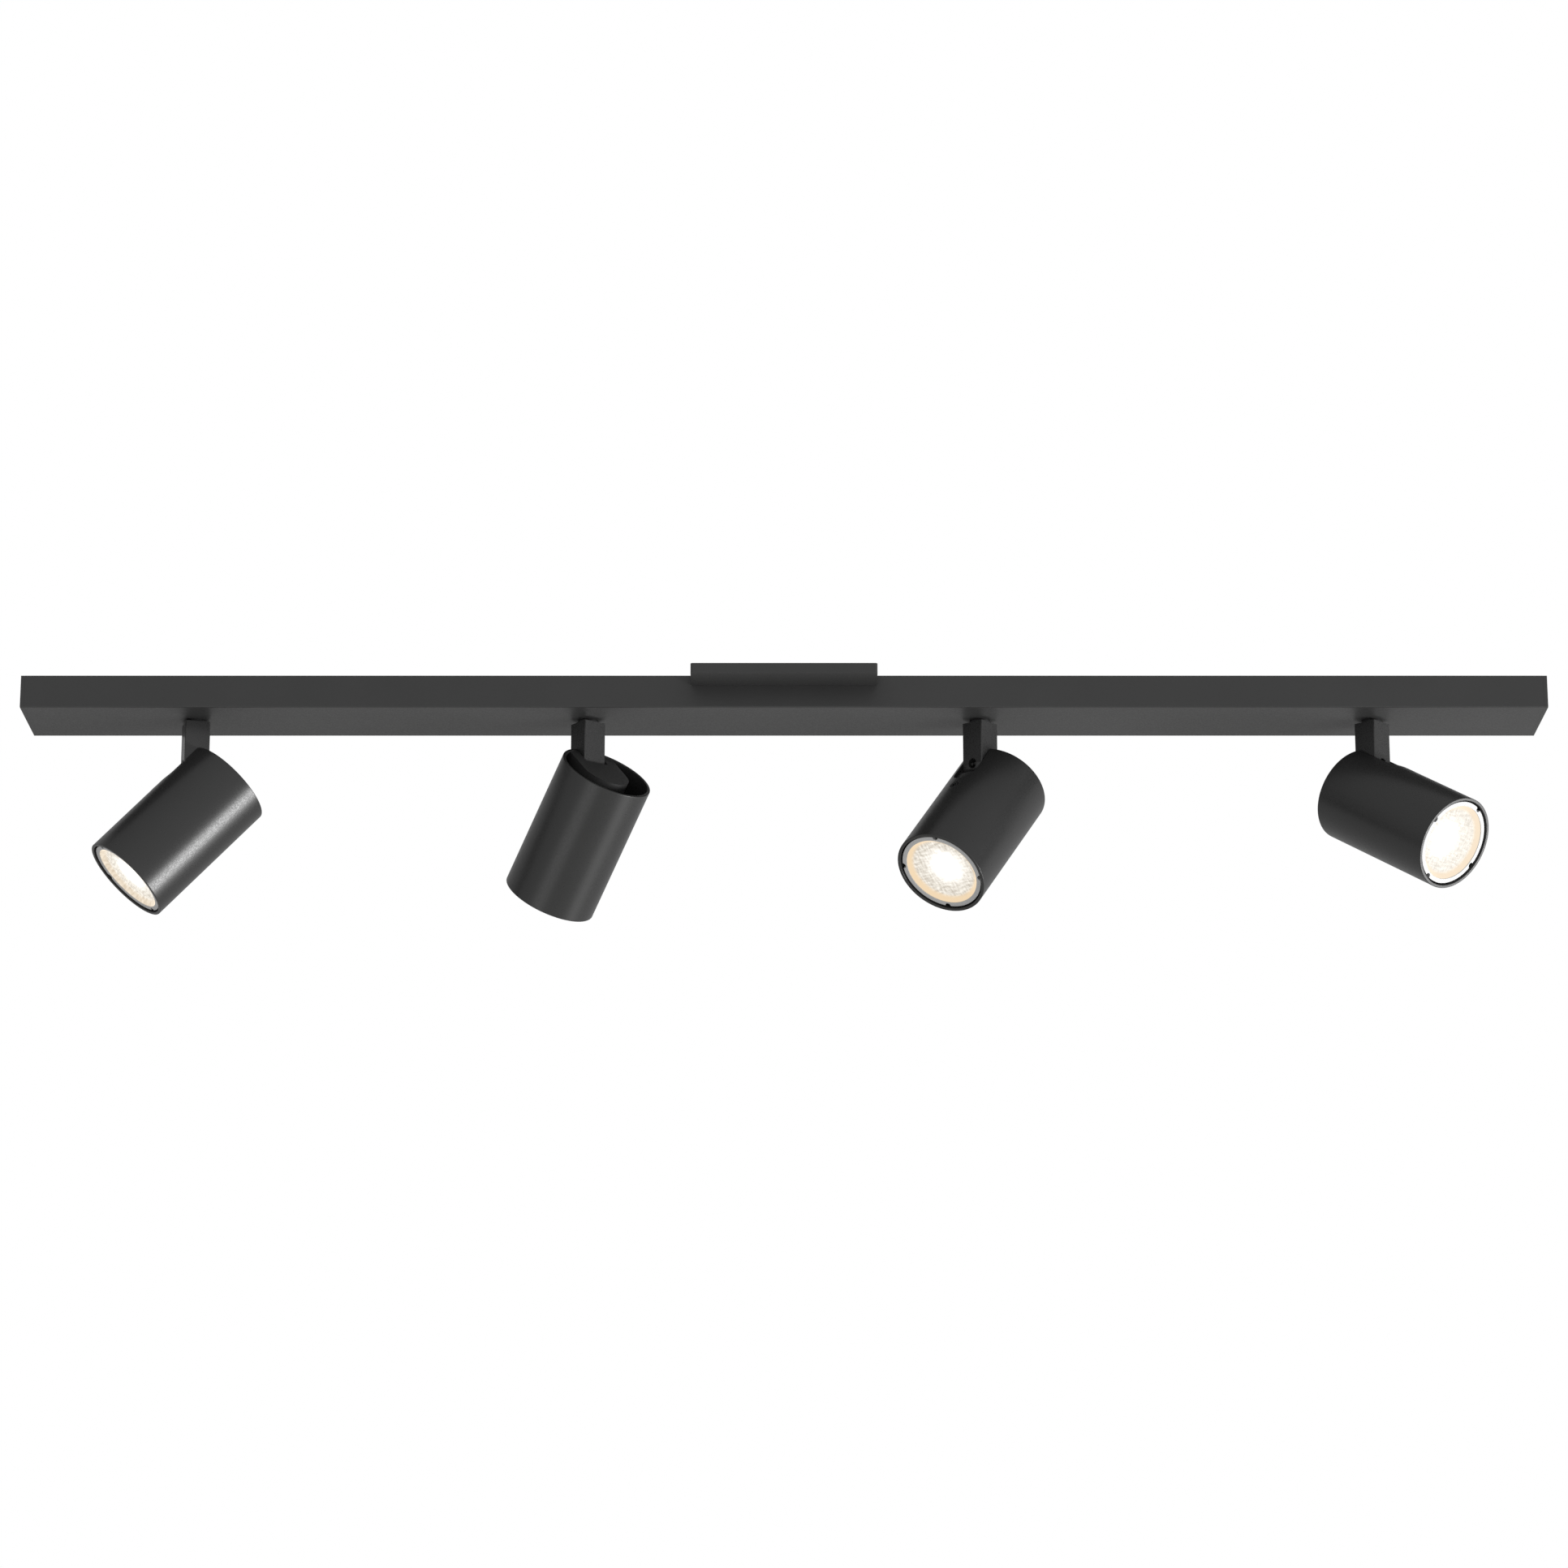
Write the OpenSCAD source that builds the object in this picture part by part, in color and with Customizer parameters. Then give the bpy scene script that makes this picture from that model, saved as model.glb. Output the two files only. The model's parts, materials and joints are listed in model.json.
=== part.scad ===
// Ceiling bar light with four adjustable spot heads.
// The frame hangs from the ceiling plane z = 0; +X runs along the bar and -Y faces the room.
// Each head pans about its square post and tilts about a pin at the post's lower end.

/* [Bar] */
// Overall length of the bar
bar_len = 970; // [930:1:1100]
// Depth of the bar from front to back
bar_depth = 64; // [60:1:80]
// Height of the bar below the ceiling
bar_h = 21; // [20:1:26]
// Thickness of the bar's folded sheet steel
sheet = 1.2; // [1:0.1:1.4]
// Thickness of each end cap's face
cap_t = 2.6; // [2.4:0.1:4]

/* [Canopy] */
// Side of the square plate that covers the ceiling box
canopy_w = 118; // [112:1:130]
// Height of the canopy below the ceiling
canopy_h = 6.5; // [6:0.1:7]
// Distance between the two screws of the ceiling box
box_screw_pitch = 88.9; // [86:0.1:90]

/* [Heads] */
// Distance from one post to the next
post_pitch = 251; // [220:1:260]
// Side of the square post
post_w = 16; // [14:0.5:16]
// Pan direction of each head in plan, from +X
pans = [195, 127, 227.5, 315.5];
// Tilt of each beam, from straight down
tilts = [42.5, 42.5, 41.5, 59];

/* [Tubes] */
// Outer diameter of the lamp tube
tube_d = 60.6; // [60.4:0.2:66]
// Length of the lamp tube
tube_len = 93; // [92:1:120]
// Wall of the lamp tube
tube_wall = 2.2; // [1.5:0.1:2.2]

/* [Hidden] */
$fn = 48;
eps = 0.02;            // clearance of a thread or a press fit
past = 1;              // how far a cut goes past the face that it opens
heads = 4;

// Bar and ceiling hardware
fold_r = 1;                              // outside radius of the bar's folded edges
casing_len = bar_len - 2 * cap_t;
floor_z = -bar_h + sheet;                // top of the bar's floor
flange_t = 1.5;                          // flange of an end cap, which slides into the bar
flange_len = 8;
flange_play = 0.05;
canopy_play = 0.05;                      // side gap of the bar's cut-out round the canopy
canopy_sheet = 1.2;
canopy_corner = 1.5;
strap_t = 2;
strap_w = 34;
strap_half = 54;
strap_step = 34;                         // where the strap steps down to the canopy
strap_low = -canopy_h + canopy_sheet;    // underside of the strap's middle
wire_hole_r = 11;
canopy_screw_x = 24;
slot_len = 12;
box_screw_r = 2.3;
bracket_t = 2;
bracket_w = 44;
bracket_len = 30;
bracket_play = 0.1;                      // from a bracket's leg to the end cap
bracket_leg_gap = 4;                     // from the leg's end to the bar's underside
bracket_hole_y = 15;
bracket_hole_x = casing_len / 2 - 18.5;
end_screw_z = -bar_h / 2;

// Screws
m4_r = 2;
m4_loose = 0.25;                         // radial play of an M4 clearance hole
m4_head = [3.6, 2.4];                    // radius and height of a head
m3_r = 1.5;
m3_head = [2.8, 1.4];
m3_len = 8;
canopy_screw_end = -1.5;                 // level of the canopy screws' ends
sink_r = 3.8;                            // countersunk head of an end screw
sink_h = 1.9;
sink_play = 0.1;                         // room that the end cap leaves round that head
end_screw_len = 10;
end_socket_r = 1.45;
end_socket_h = 1.2;

// Swivel at the top of each post
neck_gap = 1.7;                          // from the bar's underside to the post
neck_r = 5;
neck_play = 0.06;
neck_bore_r = 3.2;
neck_top = -14.3;
nut_af = 14;
nut_h = 4;
tab_t = 1;
tab_z = floor_z + 0.2;                   // underside of the stop tab
stud_r = 1.25;                           // stop stud on the bar's floor
stud_h = 1.8;
stud_at = 10;
nut_flange_r = 7.9;
tab_w = 2.4;
tab_reach = 11.9;
washer_rim = 1.4;                        // width of the friction washer
washer_gap = 0.2;                        // from the washer to the post
post_top = -bar_h - neck_gap;
pivot_z = -bar_h - 29.3;
post_edge_r = 0.8;
exit_z = pivot_z;                        // centre of the lead exit
exit_r = 3.2;

// Tilt hinge, given in the tube's own frame
pivot_in = 22.4;                         // pin axis to tube axis
pivot_back = 7.4;                        // pin axis to the rear rim
pin_r = 2;
pin_from = 4;                            // the two stub pins leave the middle free for the leads
pin_to = 13.2;
pin_play = 0.05;
swing_play = 0.4;                        // room round the post in its pocket

// Lamp stack, given as distances from the rear rim
rim_chamfer = 0.5;
slot_straight = 22;
carrier_play = 0.1;                      // from the carrier to the tube's inside
carrier_back = 0.5;
carrier_front = 25;
carrier_half_w = 16.3;
carrier_round_at = 2;
leg_front = 43;
leg_t = 3.5;
leg_half_w = 6;
way_r = 7.5;                             // lead way through the carrier
way_x = 1.5;
way_roof = 2.5;                          // thickness of the carrier's back over the lead way
side_way_r = 3;
side_way_at = 18;
tube_screw_at = 38;
spotface_r = 3;                          // recess of the tube screw's head
spotface_h = 1.7;
holder_ear_front = 29;                   // front of the lampholder's fixing ears
holder_ear_r = 14.5;
holder_ear_half_w = 9;
holder_r = 12;
holder_w = [22, 16];
holder_front = 41;
holder_screw_y = 11;
clamp_play = 0.2;                        // room round the pins and screws in the lampholder
pass_r = 1.3;                            // lead hole behind each pin
lamp_pin_y = 5;                          // the lamp's two bayonet pins
lamp_pin_r = 1.5;
lamp_pin_len = 8;
pin_foot_r = 2.5;
pin_foot_h = 2.5;
pin_foot_at = 5;                         // from the lampholder's front to the pins' feet
lamp_base_r = 11.5;
lamp_base_front = 59.2;
lamp_play = 0.2;                         // from the lampholder to the lamp
lamp_wall = 1.3;
throat_r = 13;                           // back of the reflector
throat_at = 61.2;
reflector_len = 25;
reflector_power = 0.6;                   // shape of the reflector between throat and rim
glass_seat_at = 88.1;
glass_seat_w = 1;
glass_t = 2;
glass_play = 0.1;
lamp_front = 90.2;
lamp_r = 25.2;
glass_r = 24.3;
ring_r = 27.1;
ring_back = 82.2;
ring_front = 91.8;
notch_r = 1.9;
notches = 4;
notch_turn = 23.2;                       // from the slot's side to the first notch

// Leads
lead_r = 1;
lead_z = -11.5;
pair_y = 1.3;                            // half the spacing of a pair inside the post
turn_r = 6;
drop_r = 4;
drop_gap = 0.7;                          // from a lead's drop in the bar to the pair in the post
exit_turn_r = 3;
exit_len = 3.5;
inner_lane = 12;
outer_lane = 14.4;
block_x = [34, 54];
block_w = 38;
block_top = -7.3;
pole_y = (inner_lane + outer_lane) / 2;
pole_r = 2.6;
earth_pole_r = 1.6;
clamp_x = [4.5, block_x[1] - block_x[0] - 4.5];    // clamp screws, from the block's left end
clamp_r = 1.7;
clamp_h = 2.4;
clamp_gap = 0.1;                         // from a lead's top to its clamp screw
clamp_slot = [0.6, 0.6];                 // width and depth of the driver slot
lead_grip = 6;                           // how far a lead enters the terminal block
earth_x = 73;
earth_stud_h = 8;
earth_nut = [7, 3.2];                    // width across flats and height
lug = [8, 1];                            // width and thickness
lug_drop = 8;                            // from the terminal block to the lead's turn down
clip = [6, 8, 10.6];
clip_at = [-310, -200, -85, 90, 200, 310];

satin_black = [0.13, 0.13, 0.135];
zinc = [0.72, 0.73, 0.74];
brass = [0.78, 0.62, 0.32];
nylon = [0.85, 0.84, 0.8];

root_nodes = ["bar_casing", "end_cap_left", "end_cap_right", "canopy", "mounting_strap",
    "canopy_screws", "end_bracket_left", "end_bracket_right", "end_screws", "friction_washers",
    "terminal_block", "terminal_screws", "earth_terminal", "live_leads", "neutral_leads",
    "lead_clips"];
head_nodes = ["post", "lock_nut", "post_leads", "hinge_pins", "carrier", "tube", "head_screws",
    "lampholder", "lamp_body", "lamp_glass", "lamp_ring"];

function post_x(k) = (k - (heads + 1) / 2) * post_pitch;
function arc(cx, cy, r, from, to, steps = 6) =
    [for (i = [0:steps]) let (a = from + (to - from) * i / steps) [cx + r * cos(a), cy + r * sin(a)]];
function rounded(w, d, r) = concat(
    arc(w / 2 - r, d / 2 - r, r, 0, 90), arc(-w / 2 + r, d / 2 - r, r, 90, 180),
    arc(-w / 2 + r, -d / 2 + r, r, 180, 270), arc(w / 2 - r, -d / 2 + r, r, 270, 360));
// Bar section in Y and Z, down one side, along the floor and up the other
function bar_outline(inset = 0) = let (y = bar_depth / 2 - inset, z = -bar_h + inset, r = fold_r)
    concat([[-y, 0]], arc(-y + r, z + r, r, 180, 270), arc(y - r, z + r, r, 270, 360), [[y, 0]]);

// ---- placing ----
module along_x(from, to) {
    translate([from, 0, 0]) rotate([90, 0, 90]) linear_extrude(to - from) children();
}
module at_swivel(k) { translate([post_x(k), 0, 0]) rotate([0, 0, pans[k - 1]]) children(); }
// Tube frame: origin on the tube axis at the rear rim, beam along -Z, slot towards +X
module at_head(k) {
    translate([post_x(k), 0, pivot_z]) rotate([0, -tilts[k - 1], pans[k - 1]])
        translate([-pivot_in, 0, pivot_back]) children();
}
module each_post() { for (k = [1:heads]) translate([post_x(k), 0, 0]) children(); }
module both_ends() { for (side = [0, 1]) mirror([side, 0, 0]) children(); }
// Bore or rod along X, and along Y
module rod_x(x, r, len) { translate([x, 0, 0]) rotate([0, 90, 0]) cylinder(r = r, h = len); }
module rod_y(r, len) { rotate([90, 0, 0]) cylinder(r = r, h = len, center = true); }

// Slot with round ends along X
module slot(len, r) {
    for (end = [-1, 1]) translate([end * (len / 2 - r), 0]) circle(r = r);
    square([len - 2 * r, 2 * r], center = true);
}

// ---- bar and ceiling hardware ----
module bar_casing() {
    inner_w = bar_depth - 2 * sheet;
    color(satin_black) {
        difference() {
            along_x(-casing_len / 2, casing_len / 2) polygon(bar_outline());
            translate([-bar_len, -inner_w / 2, floor_z]) cube([2 * bar_len, inner_w, bar_h]);
            translate([-canopy_w / 2 - canopy_play, -bar_depth, -canopy_h])
                cube([canopy_w + 2 * canopy_play, 2 * bar_depth, bar_h]);
            each_post() translate([0, 0, -bar_h - past]) cylinder(r = neck_r + neck_play, h = bar_h);
        }
        each_post() translate([0, stud_at, floor_z]) cylinder(r = stud_r, h = stud_h);
    }
}

module end_cap() {
    outer = sheet + flange_play;
    color(satin_black) difference() {
        union() {
            along_x(casing_len / 2, bar_len / 2) polygon(bar_outline());
            along_x(casing_len / 2 - flange_len, casing_len / 2) difference() {
                polygon(bar_outline(outer));
                translate([-bar_depth / 2 + outer + flange_t, -bar_h + outer + flange_t])
                    square([bar_depth - 2 * (outer + flange_t), bar_h]);
            }
        }
        translate([0, 0, end_screw_z]) {
            rod_x(bar_len / 2 - cap_t - past, m4_r + m4_loose, cap_t + 2 * past);
            translate([bar_len / 2 - sink_h - sink_play, 0, 0]) rotate([0, 90, 0])
                cylinder(r1 = m4_r, r2 = sink_r + m4_loose, h = sink_h + sink_play + eps);
        }
    }
}
module end_cap_left() { mirror([1, 0, 0]) end_cap(); }
module end_cap_right() { end_cap(); }

module canopy() {
    inner_w = canopy_w - 2 * canopy_sheet;
    color(satin_black) difference() {
        translate([0, 0, -canopy_h]) linear_extrude(canopy_h)
            polygon(rounded(canopy_w, canopy_w, canopy_corner));
        translate([-inner_w / 2, -inner_w / 2, strap_low]) cube([inner_w, inner_w, canopy_h]);
        translate([0, 0, -canopy_h - past]) {
            cylinder(r = wire_hole_r, h = canopy_h);
            for (x = [-1, 1]) translate([x * canopy_screw_x, 0, 0])
                cylinder(r = m4_r + m4_loose, h = canopy_h);
        }
    }
}

module mounting_strap() {
    step = strap_low + strap_t;
    side = [[strap_half, 0], [strap_step, 0], [strap_step, step]];
    under = [[strap_step + strap_t, strap_low], [strap_step + strap_t, -strap_t], [strap_half, -strap_t]];
    flip = function (pts) [for (i = [len(pts) - 1:-1:0]) [-pts[i][0], pts[i][1]]];
    color(zinc) difference() {
        rotate([90, 0, 0]) linear_extrude(strap_w, center = true)
            polygon(concat(side, flip(side), flip(under), under));
        translate([0, 0, -canopy_h]) {
            cylinder(r = wire_hole_r, h = canopy_h + past);
            for (x = [-1, 1]) {
                translate([x * canopy_screw_x, 0, 0]) cylinder(r = m4_r + eps, h = canopy_h + past);
                translate([x * box_screw_pitch / 2, 0, 0]) linear_extrude(canopy_h + past)
                    slot(slot_len, box_screw_r);
            }
        }
    }
}

// Pan head screw: head from z = 0 upwards with a hexagon socket, shank downwards
module screw(r, len, head) {
    difference() {
        union() {
            cylinder(r = head[0], h = head[1]);
            translate([0, 0, -len]) cylinder(r = r, h = len);
        }
        translate([0, 0, head[1] * 0.4]) cylinder(r = head[0] * 0.5, h = head[1], $fn = 6);
    }
}

module canopy_screws() {
    color(zinc) for (x = [-1, 1]) translate([x * canopy_screw_x, 0, -canopy_h]) mirror([0, 0, 1])
        screw(m4_r, canopy_h + canopy_screw_end, m4_head);
}

module end_bracket() {
    leg_x = casing_len / 2 - bracket_t - bracket_play;
    color(zinc) difference() {
        union() {
            translate([leg_x + bracket_t - bracket_len, -bracket_w / 2, -bracket_t])
                cube([bracket_len, bracket_w, bracket_t]);
            translate([leg_x, -bracket_w / 4, -bar_h + bracket_leg_gap])
                cube([bracket_t, bracket_w / 2, bar_h - bracket_leg_gap]);
        }
        for (y = [-1, 1]) translate([bracket_hole_x, y * bracket_hole_y, -bracket_t - past])
            cylinder(r = m4_r + m4_loose, h = bracket_t + 2 * past);
        translate([0, 0, end_screw_z]) rod_x(leg_x - past, m4_r + eps, bracket_t + 2 * past);
    }
}
module end_bracket_left() { mirror([1, 0, 0]) end_bracket(); }
module end_bracket_right() { end_bracket(); }

module end_screws() {
    color(zinc) both_ends() translate([bar_len / 2, 0, end_screw_z]) rotate([0, 90, 0]) difference() {
        union() {
            translate([0, 0, -sink_h]) cylinder(r1 = m4_r, r2 = sink_r, h = sink_h);
            translate([0, 0, -end_screw_len]) cylinder(r = m4_r, h = end_screw_len - sink_h);
        }
        translate([0, 0, -end_socket_h]) cylinder(r = end_socket_r, h = end_socket_h + past, $fn = 6);
    }
}

module friction_washers() {
    color(nylon) each_post() translate([0, 0, post_top + washer_gap]) difference() {
        cylinder(r = neck_r + washer_rim, h = neck_gap - washer_gap);
        translate([0, 0, -past]) cylinder(r = neck_r + neck_play, h = neck_gap + 2 * past);
    }
}

// ---- wiring in the bar ----
module terminal_block() {
    len = block_x[1] - block_x[0];
    color(nylon) difference() {
        translate([block_x[0], -block_w / 2, floor_z]) cube([len, block_w, block_top - floor_z]);
        for (pole = [[-pole_y, pole_r], [0, earth_pole_r], [pole_y, pole_r]]) {
            translate([0, pole[0], lead_z]) rod_x(block_x[0] - past, pole[1], len + 2 * past);
            for (x = clamp_x) translate([block_x[0] + x, pole[0], lead_z])
                cylinder(r = clamp_r + pin_play, h = bar_h);
        }
    }
}

module terminal_screws() {
    color(brass) for (y = [-pole_y, 0, pole_y], x = clamp_x)
        translate([block_x[0] + x, y, lead_z + lead_r + clamp_gap]) difference() {
            cylinder(r = clamp_r, h = clamp_h);
            translate([-clamp_slot[0] / 2, -2 * clamp_r, clamp_h - clamp_slot[1]])
                cube([clamp_slot[0], 4 * clamp_r, clamp_h]);
        }
}

module bend(r) { rotate_extrude(angle = 90) translate([r, 0]) circle(r = lead_r); }

// Lead along +X in its lane, turned in to the post and down into the neck
module lead_run(len, lane) {
    entry = pair_y + drop_r;
    translate([0, lane, 0]) rod_x(0, lead_r, len - turn_r);
    translate([len - turn_r, lane - turn_r, 0]) bend(turn_r);
    if (lane - turn_r > entry) translate([len, (lane - turn_r + entry) / 2, 0])
        rod_y(lead_r, lane - turn_r - entry);
    translate([len, entry, -drop_r]) rotate([90, 0, -90]) bend(drop_r);
}
module lead_set(side) {
    for (k = [1:heads]) {
        dir = post_x(k) > 0 ? 1 : -1;
        start = (dir > 0 ? block_x[1] : block_x[0]) - dir * lead_grip;
        lane = abs(post_x(k)) > post_pitch ? outer_lane : inner_lane;
        translate([start, 0, lead_z]) mirror([dir > 0 ? 0 : 1, 0, 0]) mirror([0, side > 0 ? 0 : 1, 0])
            lead_run(abs(post_x(k) - start), lane);
    }
}
module live_leads() { color([0.12, 0.12, 0.12]) lead_set(1); }
module neutral_leads() { color([0.92, 0.92, 0.9]) lead_set(-1); }

module earth_terminal() {
    drop_x = block_x[1] + lug_drop;
    lug_top = floor_z + lug[1];
    color(brass) {
        difference() {
            translate([drop_x + lead_r, -lug[0] / 2, floor_z])
                cube([earth_x + lug[0] / 2 - drop_x, lug[0], lug[1]]);
            translate([earth_x, 0, floor_z - past]) cylinder(r = m4_r + eps, h = lug[1] + 2 * past);
        }
        translate([earth_x, 0, floor_z]) cylinder(r = m4_r, h = earth_stud_h);
        translate([earth_x, 0, lug_top]) difference() {
            cylinder(d = earth_nut[0] / cos(30), h = earth_nut[1], $fn = 6);
            translate([0, 0, -past]) cylinder(r = m4_r + eps, h = earth_nut[1] + 2 * past);
        }
    }
    color([0.2, 0.5, 0.2]) {
        translate([0, 0, lead_z]) rod_x(block_x[1] - lead_grip, lead_r, lug_drop + lead_grip);
        translate([drop_x, 0, lead_z - drop_r]) rotate([90, 0, 0]) bend(drop_r);
        translate([drop_x + drop_r, 0, lug_top]) cylinder(r = lead_r, h = lead_z - drop_r - lug_top);
    }
}

module lead_clips() {
    color(nylon) for (x = clip_at, y = [-pole_y, pole_y]) difference() {
        translate([x - clip[0] / 2, y - clip[1] / 2, floor_z]) cube(clip);
        for (lane = [inner_lane, outer_lane]) translate([0, sign(y) * lane, lead_z])
            rod_x(x - clip[0], lead_r + pin_play, 2 * clip[0]);
    }
}

// ---- swivel of each head ----
module post(k) {
    r = post_w / 2;
    color(satin_black) at_swivel(k) difference() {
        union() {
            intersection() {
                rotate([90, 0, 0]) linear_extrude(post_w, center = true)
                    polygon(concat([[r, post_top], [-r, post_top]], arc(0, pivot_z, r, 180, 360, 24)));
                translate([0, 0, pivot_z - post_w]) linear_extrude(2 * post_w - pivot_z)
                    polygon(rounded(post_w, post_w, post_edge_r));
            }
            translate([0, 0, post_top - past]) cylinder(r = neck_r, h = neck_top - post_top + past);
        }
        translate([0, 0, exit_z]) cylinder(r = neck_bore_r, h = bar_h + post_w);
        translate([0, 0, exit_z]) rod_x(0, exit_r, post_w);
        translate([0, 0, pivot_z]) rod_y(pin_r + pin_play, 2 * post_w);
    }
}

// Hexagon nut on the neck with a flange whose tab meets the stud on the bar's floor
module lock_nut(k) {
    color(zinc) at_swivel(k) difference() {
        translate([0, 0, tab_z]) {
            cylinder(r = nut_flange_r, h = tab_t);
            translate([nut_flange_r - past, -tab_w / 2, 0])
                cube([tab_reach - nut_flange_r + past, tab_w, tab_t]);
            translate([0, 0, tab_t]) cylinder(d = nut_af / cos(30), h = nut_h - tab_t, $fn = 6);
        }
        translate([0, 0, -bar_h]) cylinder(r = neck_r + eps, h = bar_h);
    }
}

// Pair of leads down the post, turned out towards the exit
module post_leads(k) {
    turn_z = exit_z + exit_turn_r;
    color([0.12, 0.12, 0.12]) at_swivel(k) for (y = [-pair_y, pair_y]) translate([0, y, 0]) {
        translate([0, 0, turn_z]) cylinder(r = lead_r, h = lead_z - drop_r - drop_gap - turn_z);
        translate([exit_turn_r, 0, turn_z]) rotate([-90, 0, 0]) rotate([0, 0, 90]) bend(exit_turn_r);
        translate([0, 0, exit_z]) rod_x(exit_turn_r, lead_r, exit_len);
    }
}

// ---- head, hanging straight down in the tube frame ----
module hinge_pins(k) {
    color(zinc) at_head(k) for (side = [-1, 1])
        translate([pivot_in, side * (pin_from + pin_to) / 2, -pivot_back]) rod_y(pin_r, pin_to - pin_from);
}

module carrier(k) {
    inner_r = tube_d / 2 - tube_wall - carrier_play;
    play_w = post_w + 2 * swing_play;
    color(satin_black) at_head(k) difference() {
        intersection() {
            translate([0, 0, -leg_front]) cylinder(r = inner_r, h = leg_front - carrier_back);
            union() {
                translate([0, 0, -carrier_front]) linear_extrude(carrier_front) polygon(concat(
                    [[tube_d, carrier_half_w]],
                    arc(carrier_round_at, 0, carrier_half_w, 90, 270, 24), [[tube_d, -carrier_half_w]]));
                translate([inner_r - leg_t, -leg_half_w, -leg_front])
                    cube([2 * leg_t, 2 * leg_half_w, leg_front - carrier_front + past]);
            }
        }
        // Pocket that the post's round end swings in
        translate([pivot_in, 0, -pivot_back]) rod_y(play_w / 2, play_w);
        translate([pivot_in - play_w / 2, -play_w / 2, -pivot_back]) cube([tube_d, play_w, tube_d]);
        translate([pivot_in, -play_w / 2, -slot_straight]) cube([tube_d, play_w, slot_straight]);
        // Lead way from the pocket to the lampholder
        translate([way_x, 0, -carrier_front - past])
            cylinder(r = way_r, h = carrier_front - carrier_back - way_roof);
        translate([0, 0, -side_way_at]) rod_x(way_x, side_way_r, pivot_in);
        translate([pivot_in, 0, -pivot_back]) rod_y(pin_r + eps, tube_d);
        for (y = [-1, 1]) translate([0, y * holder_screw_y, -carrier_front - past])
            cylinder(r = m3_r + eps, h = m3_len);
        translate([0, 0, -tube_screw_at]) rod_x(pivot_in, m3_r + eps, tube_d);
    }
}

module tube(k) {
    r = tube_d / 2;
    in = r - tube_wall;
    c = rim_chamfer;
    slot_r = post_w / 2 + swing_play;
    color(satin_black) at_head(k) difference() {
        rotate_extrude($fn = 96) polygon([[in + c, 0], [r - c, 0], [r, -c], [r, -tube_len + c],
            [r - c, -tube_len], [in + c, -tube_len], [in, -tube_len + c], [in, -c]]);
        rotate([90, 0, 90]) linear_extrude(tube_d) polygon(concat(
            [[-slot_r, past], [-slot_r, -slot_straight]], arc(0, -slot_straight, slot_r, 180, 360, 24),
            [[slot_r, past]]));
        translate([0, 0, -tube_screw_at]) {
            rod_x(0, m3_r + carrier_play, tube_d);
            rod_x(r - spotface_h, spotface_r, tube_wall);
        }
    }
}

// Screws of one size: one through the tube's wall and two through the lampholder's ears
module head_screws(k) {
    color(zinc) at_head(k) {
        translate([tube_d / 2 - spotface_h, 0, -tube_screw_at]) rotate([0, 90, 0])
            screw(m3_r, m3_len, m3_head);
        for (y = [-1, 1]) translate([0, y * holder_screw_y, -holder_ear_front]) mirror([0, 0, 1])
            screw(m3_r, m3_len, m3_head);
    }
}

module lampholder(k) {
    ear_h = holder_ear_front - carrier_front;
    body_h = holder_front - holder_ear_front;
    color([0.93, 0.92, 0.88]) at_head(k) difference() {
        union() {
            translate([0, 0, -holder_ear_front]) linear_extrude(ear_h) intersection() {
                circle(r = holder_ear_r);
                square([2 * holder_ear_half_w, 2 * tube_d], center = true);
            }
            translate([0, 0, -holder_front]) linear_extrude(body_h) intersection() {
                circle(r = holder_r);
                square(holder_w, center = true);
            }
        }
        for (y = [-lamp_pin_y, lamp_pin_y]) translate([0, y, -holder_front - past]) {
            cylinder(r = pin_foot_r + clamp_play, h = lamp_pin_len + 2 * past);
            cylinder(r = pass_r, h = holder_front);
        }
        for (y = [-1, 1]) translate([0, y * holder_screw_y, -holder_front])
            cylinder(r = m3_r + clamp_play, h = holder_front);
    }
}

// Hollow reflector with a turned base and two bayonet pins
function reflector(wall, steps = 10) = [for (i = [0:steps]) let (t = i / steps)
    [throat_r - wall + (lamp_r - throat_r) * pow(t, reflector_power), -throat_at - reflector_len * t]];
function backward(pts) = [for (i = [len(pts) - 1:-1:0]) pts[i]];
module lamp_body(k) {
    back = holder_front + lamp_play;
    seat_r = glass_r + glass_play;
    color([0.75, 0.76, 0.78]) at_head(k) {
        rotate_extrude() polygon(concat(
            [[0, -back], [lamp_base_r, -back], [lamp_base_r, -lamp_base_front]], reflector(0),
            [[lamp_r, -lamp_front], [seat_r, -lamp_front], [seat_r, -glass_seat_at]],
            [[glass_r - glass_seat_w, -glass_seat_at]], backward(reflector(lamp_wall)), [[0, -throat_at]]));
        for (y = [-lamp_pin_y, lamp_pin_y]) translate([0, y, -holder_front]) {
            translate([0, 0, -past]) cylinder(r = lamp_pin_r, h = lamp_pin_len);
            translate([0, 0, pin_foot_at]) cylinder(r = pin_foot_r, h = pin_foot_h);
        }
    }
}

module lamp_glass(k) {
    color([1, 0.96, 0.86, 0.8]) at_head(k) translate([0, 0, -lamp_front + glass_play])
        cylinder(r = glass_r, h = glass_t, $fn = 64);
}

// Collar round the lamp's rim with half-round notches in its edge
module lamp_ring(k) {
    inner_r = lamp_r + glass_play;
    notch_h = ring_front - ring_back + 2 * past;
    color([0.6, 0.6, 0.61]) at_head(k) difference() {
        rotate_extrude($fn = 96) polygon([[glass_r, -ring_front], [ring_r, -ring_front], [ring_r, -ring_back],
            [inner_r, -ring_back], [inner_r, -lamp_front], [glass_r, -lamp_front]]);
        for (i = [0:notches - 1]) rotate([0, 0, notch_turn + i * 360 / notches])
            translate([ring_r, 0, -ring_front - past]) cylinder(r = notch_r, h = notch_h);
    }
}

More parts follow.
